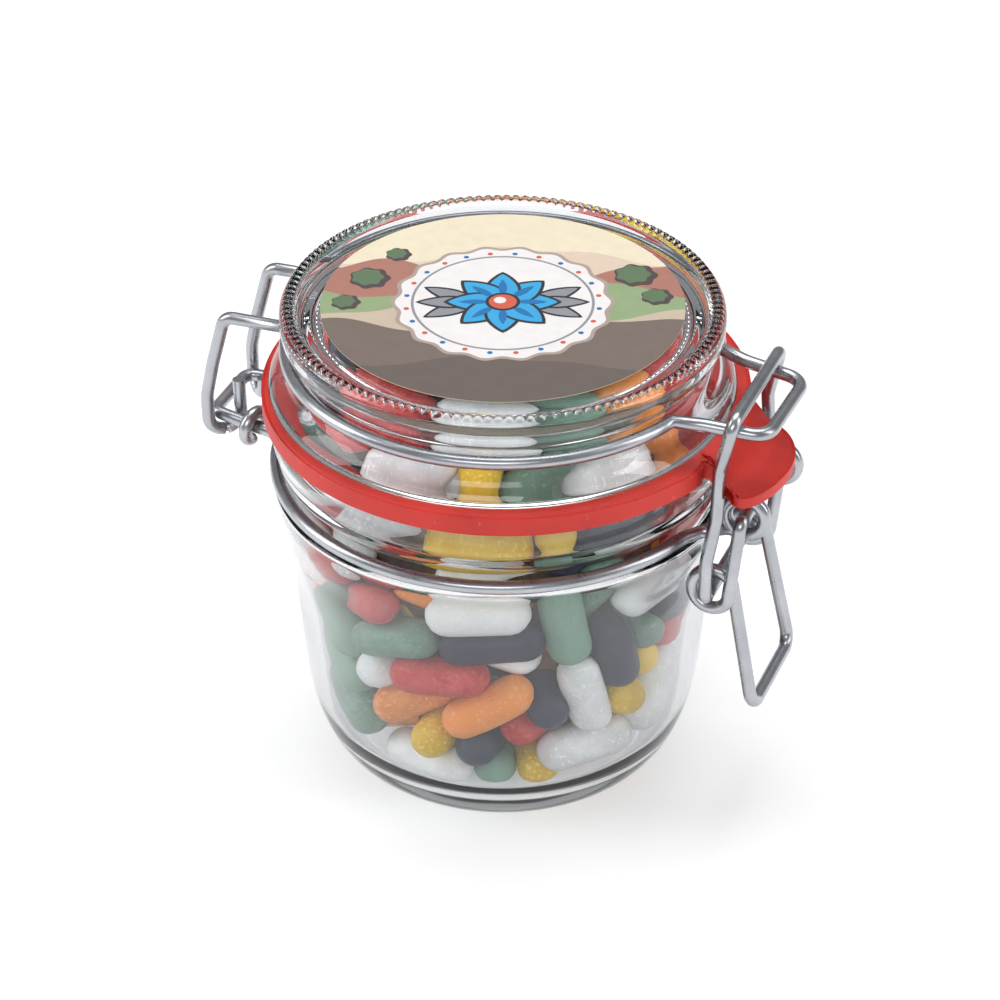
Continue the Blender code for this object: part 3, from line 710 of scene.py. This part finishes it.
# Move each pair of candies that cross away from each other.
def pushApart(ends, give, radius):
    middle = ends.mean(axis=1)
    first, second = np.triu_indices(len(ends), 1)
    near = np.linalg.norm(middle[first] - middle[second], axis=1) < candyHeap["length"]
    first, second = first[near], second[near]
    a, b = ends[first], ends[second]
    alongA, alongB, between = a[:, 1] - a[:, 0], b[:, 1] - b[:, 0], a[:, 0] - b[:, 0]
    aa, bb = (alongA ** 2).sum(1), (alongB ** 2).sum(1)
    ab, at, bt = (alongA * alongB).sum(1), (alongA * between).sum(1), (alongB * between).sum(1)
    s = np.clip((ab * bt - at * bb) / np.maximum(aa * bb - ab * ab, 1e-6), 0.0, 1.0)
    t = np.clip((ab * s + bt) / bb, 0.0, 1.0)
    s = np.clip((ab * t - at) / aa, 0.0, 1.0)
    gap = between + alongA * s[:, None] - alongB * t[:, None]
    distance = np.maximum(np.linalg.norm(gap, axis=1), 1e-6)
    bite = np.maximum(0.0, 2.0 * radius - distance)
    push = gap / distance[:, None] * bite[:, None]
    share = give[first] / (give[first] + give[second])
    for end, wa, wb in ((0, 1.0 - s, 1.0 - t), (1, s, t)):
        np.add.at(ends, (first, end), push * (0.5 * share * wa / (s * s + (1 - s) ** 2))[:, None])
        np.add.at(ends, (second, end), -push * (0.5 * (1 - share) * wb / (t * t + (1 - t) ** 2))[:, None])


# The two end-ball centres of every candy in mm, settled into the jar until they cross by little.
def packCandies():
    draw = np.random.default_rng(candyHeap["seed"])
    radius, total, count = candyHeap["radius"], candyHeap["total"], len(frontCandies)
    half = candyHeap["length"] / 2.0 - radius
    ends = np.zeros((total, 2, 3))
    for number, (around, height, tilt, depth, _) in enumerate(frontCandies):
        angle = math.radians(around)
        outward = np.array((math.cos(angle), math.sin(angle), 0.0))
        reach = float(insideRadius(height)) - candyHeap["gap"] - radius - depth
        if tilt is None:
            middle, axis = outward * (reach - half), outward
        else:
            lean = math.radians(tilt)
            level = np.array((-math.sin(angle), math.cos(angle), 0.0))
            middle = outward * (reach - candyHeap["levelInset"])
            axis = level * math.cos(lean) + np.array((0, 0, math.sin(lean)))
        middle = middle + np.array((0.0, 0.0, height))
        ends[number] = middle - axis * half, middle + axis * half
    loose = total - count
    angle = draw.uniform(0, math.tau, loose)
    out = candyHeap["scatterRadius"] * np.sqrt(draw.uniform(0, 1, loose))
    height = draw.uniform(*candyHeap["scatterHeights"], loose)
    middle = np.stack((out * np.cos(angle), out * np.sin(angle), height), axis=1)
    axis = draw.normal(size=(loose, 3))
    axis *= half / np.linalg.norm(axis, axis=1)[:, None]
    ends[count:, 0], ends[count:, 1] = middle - axis, middle + axis
    give = np.ones(total)
    give[:count] = candyHeap["listedGive"]
    kept = ends[:count].copy()
    rounds = candyHeap["settleRounds"]
    for step in range(rounds):    # the candies start thin and grow, so that they can slip past each other
        grown = candyHeap["startSize"] + candyHeap["growth"] * step / (candyHeap["growRounds"] * rounds)
        pushApart(ends, give, radius * min(1.0, grown))
        if step < candyHeap["holdRounds"]:    # the listed candies are drawn back to their places
            ends[:count] += candyHeap["holdPull"] * (kept - ends[:count])
        holdInside(ends, radius)
        middle = ends.mean(axis=1)
        axis = ends[:, 1] - ends[:, 0]
        axis *= half / np.linalg.norm(axis, axis=1)[:, None]
        ends[:, 0], ends[:, 1] = middle - axis, middle + axis
    holdInside(ends, radius)
    return ends


# One candy along Z in mm: a rod with round ends.
def candyMesh():
    radius, half = candyHeap["radius"], candyHeap["length"] / 2.0 - candyHeap["radius"]
    cap = [(radius * math.sin(a), half + radius * math.cos(a)) for a in np.radians((0, 24, 47, 68, 90))]
    waist = radius * candyHeap["waist"]
    outline = cap + [(waist, half * 0.4), (waist, -half * 0.4)] + [(r, -z) for r, z in reversed(cap)]
    shape = bmesh.new()
    points = [shape.verts.new((r, 0.0, z)) for r, z in outline]
    edges = [shape.edges.new(pair) for pair in zip(points, points[1:])]
    bmesh.ops.spin(shape, geom=points + edges, cent=(0, 0, 0), axis=(0, 0, 1), angle=math.tau,
                   steps=candyHeap["around"], use_merge=True)
    bmesh.ops.remove_doubles(shape, verts=shape.verts, dist=1e-4)
    bmesh.ops.recalc_face_normals(shape, faces=shape.faces)
    mesh = bpy.data.meshes.new("candy shape")
    shape.to_mesh(mesh)
    shape.free()
    return mesh


def makeCandyMaterial(name, colour):
    material = newMaterial(f"{name} sugar shell", {"Roughness": 0.42, "Specular IOR Level": 0.25,
                                                   "Subsurface Weight": 0.08, "Subsurface Scale": 0.002})
    tree = material.node_tree
    shader = tree.nodes["Principled BSDF"]
    tone = tree.nodes.new("ShaderNodeAttribute")
    tone.attribute_name = "tone"
    base = addMix(tree, tone.outputs["Fac"], shaded(colour, 0.80), shaded(colour, 1.12, 0.03))
    chalk = shaded(colour, 1.1, 0.02 + 0.16 * max(colour[:3]))
    dust = addClouds(tree, 260.0, 3.0, (0.42, grey(0.0)), (0.70, grey(0.5)))
    base = addMix(tree, dust, base, chalk)
    specks = addClouds(tree, 1500.0, 1.0, (0.61, grey(0.0)), (0.67, grey(0.85)))
    tree.links.new(addMix(tree, specks, base, chalk), shader.inputs["Base Color"])
    addGrain(tree, shader, scale=700.0, detail=3.0, strength=0.2, distance=0.00014)
    return material


def makeCandies():
    ends = packCandies()
    draw = np.random.default_rng(candyHeap["seed"] + 1)
    names = list(candyShare)
    colours = [row[4] for row in frontCandies]
    weights = np.array([candyShare[name] for name in names])
    loose = len(ends) - len(colours)
    colours += [names[n] for n in draw.choice(len(names), loose, p=weights / weights.sum())]
    oneCandy = candyMesh()
    half = candyHeap["length"] / 2.0
    for name in names:
        shape = bmesh.new()
        tone = shape.verts.layers.float.new("tone")
        for number, (low, high) in enumerate(ends):
            if colours[number] != name:
                continue
            first = len(shape.verts)
            shape.from_mesh(oneCandy)
            shape.verts.ensure_lookup_table()
            start, end = Vector(low), Vector(high)
            turn = (end - start).to_track_quat("Z", "Y").to_matrix().to_4x4()
            spin = Matrix.Rotation(draw.uniform(0, math.tau), 4, "Z")
            place = Matrix.Translation((start + end) / 2.0) @ turn @ spin
            bend, shade = draw.uniform(0.0, candyHeap["bend"]), draw.uniform(0.0, 1.0)
            seed = Vector(draw.uniform(0, 50, 3))
            for vert in shape.verts[first:]:
                swell = 1.0 + candyHeap["lump"] * noise.noise(vert.co * candyHeap["lumpScale"] + seed)
                vert.co.x = vert.co.x * swell + bend * (0.4 - (vert.co.z / half) ** 2)
                vert.co.y *= swell
                vert.co = (place @ vert.co) * mm
                vert[tone] = shade
        addPiece(f"candies_{name}", shape, [makeCandyMaterial(name, candyColours[name])], "jar_body",
                 ["candies"])
    bpy.data.meshes.remove(oneCandy)


# A smaller solid inside the heap, so that no light comes through its gaps; its dark brown colour is painted
# shade, standing in for the shadow deep between the candies.
def makeCandyCore():
    heap = candyHeap
    low, high = heap["coreBottom"], heap["coreTop"]
    heights = np.linspace(low + heap["coreEdge"], high - heap["coreEdge"], heap["coreRows"])
    wall = [(float(insideRadius(z)) - heap["coreInset"], float(z)) for z in heights]
    outline = [(0.0, low), (wall[0][0] - heap["coreChamfer"], low), *wall,
               (wall[-1][0] - heap["coreChamfer"], high), (0.0, high)]
    shape = spinOutline(outline, heap["coreSteps"])
    paintedShadeCore = newMaterial("candy shadow", {"Roughness": 0.8})
    tree = paintedShadeCore.node_tree
    # painted shade: dark brown clouds in place of the shadow in the heap's gaps
    tone = addClouds(tree, 130.0, 2.0, (0.35, paint(60, 50, 48)), (0.65, paint(120, 84, 66)))
    tree.links.new(tone, tree.nodes["Principled BSDF"].inputs["Base Color"])
    addPiece("candy_core", shape, [paintedShadeCore], "jar_body", ["candies"])


makeCamera()
makeStudio()
print("camera, lights and floor set")
glass = makeGlassMaterial()
makeJar(glass)
makeLid(glass)
makeLabel()
print("glass and label made")
makeRubberRing(makeRubberMaterial())
print("rubber ring made")
steel = makeSteelMaterial()
makeLidWire(steel)
makeNeckWire(steel)
makeLever(steel)
makeLink(steel)
print("wire made")
makeCandies()
makeCandyCore()
print("candies made")
